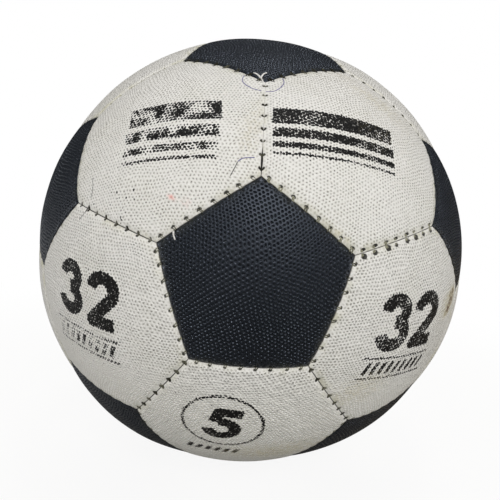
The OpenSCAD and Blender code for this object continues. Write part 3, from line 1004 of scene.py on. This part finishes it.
def stitchStrands(kinds):
    made = []
    for seam in seams:
        if (5 in seam["kinds"]) != (kinds == "pentagon"):
            continue
        lie = stitch["open" if seam["slack"] > 1 else "loose" if seam["loose"] else kinds]
        away, along, below = (np.array(lie[k]) for k in ("away", "along", "below"))
        toFront = 1 if seam["along"][1] < 0 else -1
        thickness, clean = lie["thickness"], lie["clean"]
        if kinds == "pentagon":
            away = np.where(away > 0, away * seam["hole"][6][0], away)
            if seam["numbers"][0] == 1:
                thickness, clean = lie["front"][seam["numbers"][1]]
        elif "stout" in lie:
            thickness = lie["stout"].get(seam["numbers"], thickness)
            if seam["faded"]:
                thickness, clean = lie["faded"]
        for place, pull in zip(seam["places"], seam["pull"][1]):
            tone = clean + random.uniform(-0.15, 0.2)
            thick = thickness * random.uniform(0.85, 1.1)
            under = below - 0.12 * (pull - 1) + random.uniform(0, 1) * lie.get("sink", 0)
            lean = toFront * random.uniform(0.6, 1.15)
            for side in (-1, 1):
                across = away if lie["apart"] else side * away
                run = place + lean * along + side * lie["apart"] * random.uniform(0.6, 1.3)
                run += 0.08 * random.normal(size=len(along))
                path = seamPath(seam, across, run, under)
                made.append((strand(smoothPath(path, lie["steps"]), thick, lie["sides"]), tone))
    return made


seamThread = waxedThread("polyester thread, waxed", threadLook["clean"], threadLook["dirty"],
                         threadLook["plyShade"])
for kinds in ("pentagon", "hexagon"):
    piece = strandMesh(f"{kinds}Stitches", stitchStrands(kinds), seamThread)
    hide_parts(f"{kinds}_stitches")
    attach(piece, "ball")
print("stitches:", sum(len(s["places"]) for s in seams))


# a point on a panel's face, right of and above its middle in mm, lifted off it
def onPanel(word, number, x, y, lift=0.0):
    panel = [p for p in panels if (p["word"], p["number"]) == (word, number)][0]
    reach = math.hypot(x, y)
    flat = (x * panel["right"] + y * panel["up"]) / max(reach, 1e-9)
    direction = math.cos(reach / radius) * panel["axis"] + math.sin(reach / radius) * flat
    height = edgeRadius - 0.8  # in a seam's gap
    for piece in panelPieces.values():
        found, place, normal, index = piece.ray_cast(Vector(direction * (radius + 6) * mm), Vector(-direction))
        if found:
            height = max(height, place.length / mm)
    return direction * (height + lift)


bpy.context.view_layer.update()
# cotton thread, bleached: the tail of the last seam, frayed in two, and a bit caught in another seam
looseEnds = {
    "thickness": 0.72,
    "tail": [("pentagon", 2, [(-0.6, -41.4), (-1.2, -38.7), (-2.0, -36.2)]),
             ("pentagon", 2, [(-2.0, -36.4), (-2.8, -35.4), (-3.8, -34.3), (-4.9, -33.7)]),
             ("pentagon", 2, [(-1.9, -36.4), (-1.4, -35.2), (-0.7, -34.1), (0.3, -33.3)])],
    "bit": [("pentagon", 1, [(-30.2, 16.4), (-29.8, 15.1), (-29.0, 13.5)])],
}
tailThread = waxedThread("cotton thread, bleached", "#f0eeea", "#c9c6bf", "#a8a49b")
for name in ("tail", "bit"):
    strands = []
    for word, number, route in looseEnds[name]:
        path = smoothPath([onPanel(word, number, x, y, 0.3) for x, y in route])
        taper = np.linspace(1.0, 0.7, len(path)) * looseEnds["thickness"]
        strands.append((strand(path, taper, 8), 0.6))
    piece = strandMesh(f"thread{name.capitalize()}", strands, tailThread)
    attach(piece, "ball")

# ballpoint lines from marking out, thin ink just proud of the film
penLines = {
    "sink": 0.1,
    "routes": [  # hexagon, thickness, blue or faded to grey, places
        (2, 0.48, 1, [(24.5, 31.7), (24.9, 28.4), (26.6, 26.1), (30.2, 24.3), (34.0, 24.0)]),
        (1, 0.48, 1, [(-26.4, 31.8), (-26.7, 28.9), (-28.8, 25.9), (-31.9, 23.9), (-35.2, 24.1)]),
        (2, 0.48, 1, [(34.3, -10.6), (35.6, -9.1), (37.6, -8.2), (39.7, -7.6)]),
        (2, 0.42, 0, [(33.0, -16.6), (33.5, -14.5), (34.0, -12.3), (34.3, -10.8)]),
        (2, 0.42, 0, [(-25.9, -21.3), (-24.3, -26.3), (-24.6, -29.5)]),
        (5, 0.42, 0, [(-2.4, 44.0), (-4.5, 40.6), (-7.0, 37.6)]),
    ],
}
material, tree = newMaterial("ballpoint ink, dried")
lay = addNode(tree, "Attribute", out="Vector", attribute_name="threadLay")
skip = addNode(tree, "TexNoise", {"Vector": lay, "Scale": 0.9, "Detail": 2.0}, out="Fac")
skip = addNode(tree, "MapRange", [skip, 0.4, 0.62, 0.0, 1.0])
parts = tree.nodes.new("ShaderNodeSeparateXYZ")
tree.links.new(lay, parts.inputs[0])
fresh = addNode(tree, "Mix", [parts.outputs[2], "#4c4a45", "#514c84"], data_type="RGBA")
faded = addNode(tree, "Mix", [parts.outputs[2], "#85857f", "#8f8ba3"], data_type="RGBA")
colour = addNode(tree, "Mix", [skip, fresh, faded], data_type="RGBA")
surface = addNode(tree, "BsdfPrincipled", {"Base Color": colour, "Roughness": 0.5, "IOR": 1.45})
addNode(tree, "OutputMaterial", {"Surface": surface})
strands = []
for number, thickness, blue, route in penLines["routes"]:
    path = smoothPath([onPanel("hexagon", number, x, y, -penLines["sink"]) for x, y in route], 8)
    strands.append((strand(path, thickness, 6), blue))
piece = strandMesh("penLines", strands, material)
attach(piece, "ball")
print("loose ends and pen lines done")


# corners of a profile eased by short curves: (from the axis, from the ball's centre, ease) in mm
def easedProfile(corners, steps=4):
    made = []
    for k, (x, y, ease) in enumerate(corners):
        corner = np.array([x, y])
        if ease == 0:
            made.append(corner)
            continue
        before = np.array(corners[k - 1][:2]) - corner
        after = np.array(corners[(k + 1) % len(corners)][:2]) - corner
        start = corner + before * min(0.45, ease / np.linalg.norm(before))
        end = corner + after * min(0.45, ease / np.linalg.norm(after))
        for t in np.arange(steps + 1) / steps:
            made.append((1 - t) ** 2 * start + 2 * t * (1 - t) * corner + t ** 2 * end)
    return np.array(made)


# a profile turned round the valve's axis; it is closed, or it starts and ends on the axis
def turnedMesh(name, profile, count, material):
    following = np.roll(profile, -1, 0)
    if np.sum(profile[:, 0] * following[:, 1] - following[:, 0] * profile[:, 1]) > 0:
        profile = profile[::-1]
    turns = 2 * math.pi * np.arange(count) / count
    points, rings, faces = [], [], []
    start = 0
    for x, y in profile:
        size = count if x > 0 else 1
        points.append(np.stack([x * np.cos(turns[:size]), np.full(size, y), x * np.sin(turns[:size])], 1))
        rings.append(start + np.arange(size))
        start += size
    for one, two in zip(rings, rings[1:] + rings[:1]):
        if len(one) == len(two) == count:
            faces += ringFaces([one, two]).tolist()
        elif len(two) == 1 and len(one) == count:
            faces += [[two[0], b, a] for a, b in zip(one, np.roll(one, -1))]
        elif len(one) == 1 and len(two) == count:
            faces += [[one[0], a, b] for a, b in zip(two, np.roll(two, -1))]
    return addMesh(name, np.concatenate(points), faces, material)


# butyl and natural rubber, moulded: the eye sees a dull near-black skin with the fine tooth of the mould,
# and a grey bloom of talc and dust that lies in patches
rubberLooks = {
    "valveHousing": {"name": "butyl rubber, moulded", "face": "#1f1e1d", "bloom": "#4b4843", "patch": 3.0},
    "valvePlug": {"name": "natural rubber, moulded", "face": "#413d39", "bloom": "#6f6a62", "patch": 2.0},
    "airBladder": {"name": "butyl rubber, dusted with talc", "face": "#33302c", "bloom": "#7d776d", "patch": 14.0},
}


def mouldedRubber(look):
    material, tree = newMaterial(look["name"])
    where = addNode(tree, "TexCoord", out="Object")
    patch = addNode(tree, "TexNoise", {"Vector": where, "Scale": 1 / (look["patch"] * mm), "Detail": 4.0,
                                       "Roughness": 0.62}, out="Fac")
    bloom = addNode(tree, "MapRange", [patch, 0.46, 0.72, 0.0, 0.7])
    colour = addNode(tree, "Mix", [bloom, look["face"], look["bloom"]], data_type="RGBA")
    shine = addNode(tree, "MapRange", [patch, 0.4, 0.7, 0.48, 0.72])
    tooth = addNode(tree, "TexNoise", {"Vector": where, "Scale": 1 / (0.3 * mm), "Detail": 2.0}, out="Fac")
    relief = addNode(tree, "Math", [tooth, 0.04], operation="MULTIPLY")
    normal = addNode(tree, "Bump", {"Height": relief, "Distance": mm})
    surface = addNode(tree, "BsdfPrincipled", {
        "Base Color": colour, "Roughness": shine, "Normal": normal, "IOR": 1.52, "Specular IOR Level": 0.3})
    addNode(tree, "OutputMaterial", {"Surface": surface})
    return material


# height on a sphere round the ball's centre, beside the valve's axis
def onSphere(r, x):
    return math.sqrt(r * r - x * x)


mouth = radius - valve["mouth"]
stemEnd = bladderInside - valve["stemLength"]
neck, flange, stem, plug, head, needle = (valve[k] / 2 for k in ("neck", "flange", "stem", "plug", "head", "needle"))
bore, recess = plug + valve["room"], head + valve["room"]
recessLow = mouth - valve["headHeight"] - valve["room"]
flangeSteps = [neck + (flange - neck) * t for t in (0.3, 0.6, 0.85)]
housing = [(recess, mouth, 0.25), (neck, mouth, 0.45), (neck, onSphere(liningOutside, neck), 0.3)]
housing += [(x, onSphere(liningOutside, x), 0) for x in flangeSteps]
housing += [(flange, onSphere(liningOutside, flange), 0.3), (flange, onSphere(liningInside, flange), 0.3)]
housing += [(x, onSphere(liningInside, x), 0) for x in flangeSteps[::-1] if x > stem]
housing += [(stem, onSphere(liningInside, stem), 0.4)]
for low in (101, 97, 93):  # grooves moulded round the stem
    housing += [(stem, low + 1.6, 0.2), (stem - 0.35, low + 1.3, 0.2), (stem - 0.35, low + 0.3, 0.2), (stem, low, 0.2)]
housing += [(stem, stemEnd, 1.2), (bore, stemEnd, 0.3), (bore, recessLow, 0.15), (recess, recessLow, 0.15)]

barrel = [(0, mouth - valve["needleDepth"], 0), (needle, mouth - valve["needleDepth"], 0.3),
          (needle, mouth - 1.2, 0.2), (needle + 0.75, mouth - 0.3, 0.25), (head - 0.9, mouth, 0.4),
          (head, mouth, 0.4), (head, mouth - valve["headHeight"], 0.2), (plug, mouth - valve["headHeight"], 0.1)]
for low in (103, 100, 97):  # grooves that hold the sealing oil
    barrel += [(plug, low + 1.0, 0.1), (plug - 0.22, low + 0.8, 0.1), (plug - 0.22, low + 0.2, 0.1), (plug, low, 0.1)]
barrel += [(plug, stemEnd - valve["tip"], 0.7), (0, stemEnd - valve["tip"], 0)]

# the bladder's two faces, from the stem's hole round to the far side, with a thicker collar at the hole
opening = math.asin((stem + ball["glue"]) / bladderOutside)
tilts = np.concatenate([opening + np.radians([0, 0.4, 1.2, 2.4, 4]), np.radians(np.arange(10, 180, 5)), [math.pi]])
outer = [(bladderOutside * math.sin(t), bladderOutside * math.cos(t), 0) for t in tilts]
collar = bladderInside - 0.9 * smooth(-tilts, -math.radians(9), -math.radians(6))
innerFace = [(r * math.sin(t), r * math.cos(t), 0) for r, t in zip(collar, tilts)]
for profile in (outer, innerFace):
    profile[-1] = (0, profile[-1][1], 0)
wall = outer + innerFace[::-1]

for name, profile, count, node, body, slot in (
        ("valveHousing", housing, 72, "valve_housing", "ball", "valve_rubber"),
        ("valvePlug", barrel, 56, "valve_plug", "plug", "plug_rubber"),
        ("airBladder", wall, 96, "bladder", "ball", "bladder_rubber")):
    piece = turnedMesh(name, easedProfile(profile), count, mouldedRubber(rubberLooks[name]))
    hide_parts(node)
    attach(piece, body)
print("valve and bladder done")

# poly-cotton cloth, plain woven and stuck on with latex: the eye sees warp and weft cross, slubs, and
# yellow patches where the latex has soaked through
liningLook = {"thread": 1.1, "warp": "#d2c7a9", "weft": "#c3b692", "hollowShade": "#7f7456", "latex": "#b09a62"}


def wovenCloth(look):
    material, tree = newMaterial("poly-cotton cloth, plain woven")
    grain = addNode(tree, "Attribute", out="Vector", attribute_name="grainMm")
    slub = addNode(tree, "TexNoise", {"Vector": grain, "Scale": 1 / 6, "Detail": 3.0}, out="Color")
    slub = addNode(tree, "VectorMath", [slub, (0.5, 0.5, 0.5)], operation="SUBTRACT")
    place = addNode(tree, "VectorMath", [slub, (0.5, 0.5, 0.5), grain], operation="MULTIPLY_ADD")
    parts = tree.nodes.new("ShaderNodeSeparateXYZ")
    tree.links.new(place, parts.inputs[0])
    waves = []
    for k in range(2):
        turn = addNode(tree, "Math", [parts.outputs[k], math.pi / look["thread"]], operation="MULTIPLY")
        waves.append(addNode(tree, "Math", [turn], operation="SINE"))
    over = addNode(tree, "Math", waves, operation="MULTIPLY")
    warp = addNode(tree, "MapRange", [over, -0.15, 0.15, 0.0, 1.0])
    colour = addNode(tree, "Mix", [warp, look["weft"], look["warp"]], data_type="RGBA")
    raised = addNode(tree, "Math", [over], operation="ABSOLUTE")
    # painted shade in the hollows between the crossing threads
    hollowShade = addNode(tree, "MapRange", [raised, 0.0, 0.3, 0.7, 0.0])
    colour = addNode(tree, "Mix", [hollowShade, colour, look["hollowShade"]], data_type="RGBA")
    soaked = addNode(tree, "TexNoise", {"Vector": grain, "Scale": 1 / 15, "Detail": 4.0}, out="Fac")
    soaked = addNode(tree, "MapRange", [soaked, 0.52, 0.7, 0.0, 0.6])
    colour = addNode(tree, "Mix", [soaked, colour, look["latex"]], data_type="RGBA")
    shine = addNode(tree, "MapRange", [soaked, 0.0, 0.6, 0.9, 0.55])
    relief = addNode(tree, "Math", [raised, 0.12], operation="MULTIPLY")
    normal = addNode(tree, "Bump", {"Height": relief, "Distance": mm})
    surface = addNode(tree, "BsdfPrincipled", {
        "Base Color": colour, "Roughness": shine, "Normal": normal, "IOR": 1.5, "Specular IOR Level": 0.2})
    addNode(tree, "OutputMaterial", {"Surface": surface})
    return material


# cloth behind one panel, as far as its hem, cut out round the valve's flange
def liningCut(panel):
    first = panel["seams"][0]
    toSide = first[0]["across"] * -first[1]
    side = unit(toSide - panel["axis"] * (toSide @ panel["axis"]))
    other = np.cross(panel["axis"], side)
    flat, faces, rim = kiteGrid(panel["n"], np.linspace(0, 1, 9), ball["hem"] + 2 * ball["glue"])
    if panel["word"] == "pentagon" and panel["number"] == 12:
        edge = flat[rim]
        cut = math.tan((valve["flange"] / 2 + ball["glue"]) / liningInside) * edge / np.linalg.norm(edge, axis=1)[:, None]
        flat = np.concatenate([cut + w * (edge - cut) for w in (0, 0.35, 0.7, 1)])
        rings = np.arange(len(flat)).reshape(4, -1)
        faces, rim = ringFaces(rings[::-1]), rings[-1]
        holeRim = rings[0]
    else:
        holeRim = None
    directions = flat[:, :1] * side + flat[:, 1:] * other + panel["axis"]
    directions /= np.linalg.norm(directions, axis=1)[:, None]
    count = len(directions)
    laid = bowed(directions)
    points = np.concatenate([laid * liningOutside, laid * liningInside])
    allFaces = [faces, faces[:, ::-1] + count, ringFaces([rim, rim + count])]
    if holeRim is not None:
        allFaces.append(ringFaces([holeRim + count, holeRim]))
    turn = random.uniform(0, math.pi)
    spin = np.array([[math.cos(turn), math.sin(turn)], [-math.sin(turn), math.cos(turn)]])
    grain = flatPlaces(panel, np.concatenate([directions, directions])) @ spin + random.uniform(0, 500, 2)
    return points, np.concatenate(allFaces), grain


cloth = wovenCloth(liningLook)
for word in ("pentagon", "hexagon"):
    points, faces, grain = [], [], []
    start = 0
    for panel in panels:
        if panel["word"] == word:
            cutPoints, cutFaces, cutGrain = liningCut(panel)
            points.append(cutPoints)
            faces += (cutFaces + start).tolist()
            grain.append(cutGrain)
            start += len(cutPoints)
    grain = np.concatenate(grain)
    grain = np.concatenate([grain, np.zeros((len(grain), 1))], 1)
    piece = addMesh(f"{word}Linings", np.concatenate(points), faces, cloth, {"grainMm": grain})
    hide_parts(f"{word}_linings")
    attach(piece, "ball")
print("linings done")


# camera fitted to the seam corners of the photograph, angles in degrees, places in image widths
view = {
    "azimuth": -1.195, "elevation": 6.079, "roll": 3.803,
    "distance": 2.504,                 # ball radii
    "focal": 0.9730,
    "middle": (0.50010, 0.50100),
    "sensor": 36.0,
}
azimuth, elevation, roll = (math.radians(view[k]) for k in ("azimuth", "elevation", "roll"))
backward = Vector((math.sin(azimuth) * math.cos(elevation), -math.cos(azimuth) * math.cos(elevation),
                   math.sin(elevation)))
level = Vector((0, 0, 1)).cross(backward).normalized()
upright = backward.cross(level)
right = math.cos(roll) * level + math.sin(roll) * upright
up = math.cos(roll) * upright - math.sin(roll) * level
lens = bpy.data.cameras.new("photoCamera")
lens.sensor_width = view["sensor"]
lens.lens = view["focal"] * view["sensor"]
lens.shift_x = 0.5 - view["middle"][0]
lens.shift_y = view["middle"][1] - 0.5
lens.clip_start = 0.01
camera = bpy.data.objects.new("photoCamera", lens)
bpy.context.scene.collection.objects.link(camera)
place = Matrix((right, up, backward)).transposed().to_4x4()
place.translation = backward * view["distance"] * radius * mm
camera.matrix_world = place
bpy.context.scene.camera = camera

# studio: pale floor, white surround, large soft lamps. Nothing here is metal or glass, so only the
# camera sees the surround as white, and the satin leather mirrors the lamps and a dim room
studio = {
    "floor": "#f1efeb", "bounce": "#b9b9b7", "floorSize": 6.0,  # bounce: what the floor throws back at the ball
    "shadowKept": 0.1, "shadowReach": (0.16, 0.5),  # share of the shadow, fading out in m from the ball
    "surround": 0.44,                                # the room as a light, and below as the leather mirrors it:
    "walls": 0.04, "ceiling": 0.2, "ceilingToward": (0.0, -0.35, 0.94),
    "floorMirrored": ("#e8e7e6", "#968668", "#4a4744"), "mirrorTurn": 0.2,  # left, right and before, changing over m
    "lamps": [  # place in m, size in m, power in W
        ("overhead", (0.1, -0.15, 1.33), 0.25, 1.9),
        ("front", (0.2, -1.46, 0.97), 0.7, 10.7),
        ("frontLow", (0.1, -1.75, 0.3), 1.6, 8.8),
        ("left", (-1.35, -0.25, 0.1), 0.5, 2.1),
        ("right", (1.35, -0.2, 0.0), 0.4, 1.8),
        ("back", (0.3, 1.7, 0.5), 1.2, 9.0),
    ],
    "unmirrored": ["frontLow", "back"],  # soft fill, too wide to show in the leather as a lamp
}
half = studio["floorSize"] / 2
floorLevel = cadBox[0][2]
mesh = bpy.data.meshes.new("floor")
mesh.from_pydata([(-half, -half, 0), (half, -half, 0), (half, half, 0), (-half, half, 0)], [], [(0, 1, 2, 3)])
floor = bpy.data.objects.new("floor", mesh)
floor.location = (0, 0, floorLevel)
bpy.context.scene.collection.objects.link(floor)
material, tree = newMaterial("paper, matt")
path = tree.nodes.new("ShaderNodeLightPath")
seen = addNode(tree, "Math", [path.outputs["Is Camera Ray"], path.outputs["Is Transmission Ray"]],
               operation="MAXIMUM")
where = addNode(tree, "TexCoord", out="Object")
floorTones = studio["floorMirrored"]
mirrored = floorTones[0]
for tone, direction in zip(floorTones[1:], ((1.0, 0.0, 0.0), (0.0, -1.0, 0.0))):
    share = addNode(tree, "VectorMath", [where, direction], out="Value", operation="DOT_PRODUCT")
    share = addNode(tree, "MapRange", [share, -studio["mirrorTurn"], studio["mirrorTurn"], 0.0, 1.0])
    mirrored = addNode(tree, "Mix", [share, mirrored, tone], data_type="RGBA")
where = addNode(tree, "VectorMath", [where], operation="LENGTH")
near, far = studio["shadowReach"]
white = addNode(tree, "MapRange", [where, near, far, 1 - studio["shadowKept"], 1.0],
                interpolation_type="SMOOTHSTEP")
seen = addNode(tree, "Math", [seen, white], operation="MULTIPLY")
tint = addNode(tree, "Mix", [path.outputs["Is Camera Ray"], studio["bounce"], studio["floor"]], data_type="RGBA")
tint = addNode(tree, "Mix", [path.outputs["Is Glossy Ray"], tint, mirrored], data_type="RGBA")
paper = addNode(tree, "BsdfDiffuse", {"Color": tint})
glow = addNode(tree, "Emission", {"Color": "#ffffff", "Strength": 1.0})
mixed = addNode(tree, "MixShader", [seen, paper, glow])
addNode(tree, "OutputMaterial", {"Surface": mixed})
mesh.materials.append(material)

world = bpy.data.worlds.new("studio")
world.use_nodes = True
world.node_tree.nodes.clear()
bpy.context.scene.world = world
tree = world.node_tree
path = tree.nodes.new("ShaderNodeLightPath")
seen = addNode(tree, "Math", [path.outputs["Is Camera Ray"], path.outputs["Is Transmission Ray"]],
               operation="MAXIMUM")
toward = addNode(tree, "TexCoord", out="Generated")
toward = addNode(tree, "VectorMath", [toward, studio["ceilingToward"]], out="Value", operation="DOT_PRODUCT")
mirrored = addNode(tree, "MapRange", [toward, 0.4, 0.95, studio["walls"], studio["ceiling"]])
room = addNode(tree, "Mix", [path.outputs["Is Glossy Ray"], studio["surround"], mirrored])
strength = addNode(tree, "Mix", [seen, room, 1.0])
sky = addNode(tree, "Background", {"Color": "#ffffff", "Strength": strength})
addNode(tree, "OutputWorld", {"Surface": sky})

for name, place, size, power in studio["lamps"]:
    lamp = bpy.data.lights.new(name, "AREA")
    lamp.shape = "DISK"
    lamp.size = size
    lamp.energy = power
    holder = bpy.data.objects.new(name, lamp)
    holder.location = place
    holder.visible_glossy = name not in studio["unmirrored"]
    holder.rotation_euler = (-Vector(place)).to_track_quat("-Z", "Y").to_euler()
    bpy.context.scene.collection.objects.link(holder)
bpy.context.scene.view_settings.view_transform = "Standard"
print("studio and camera ready")
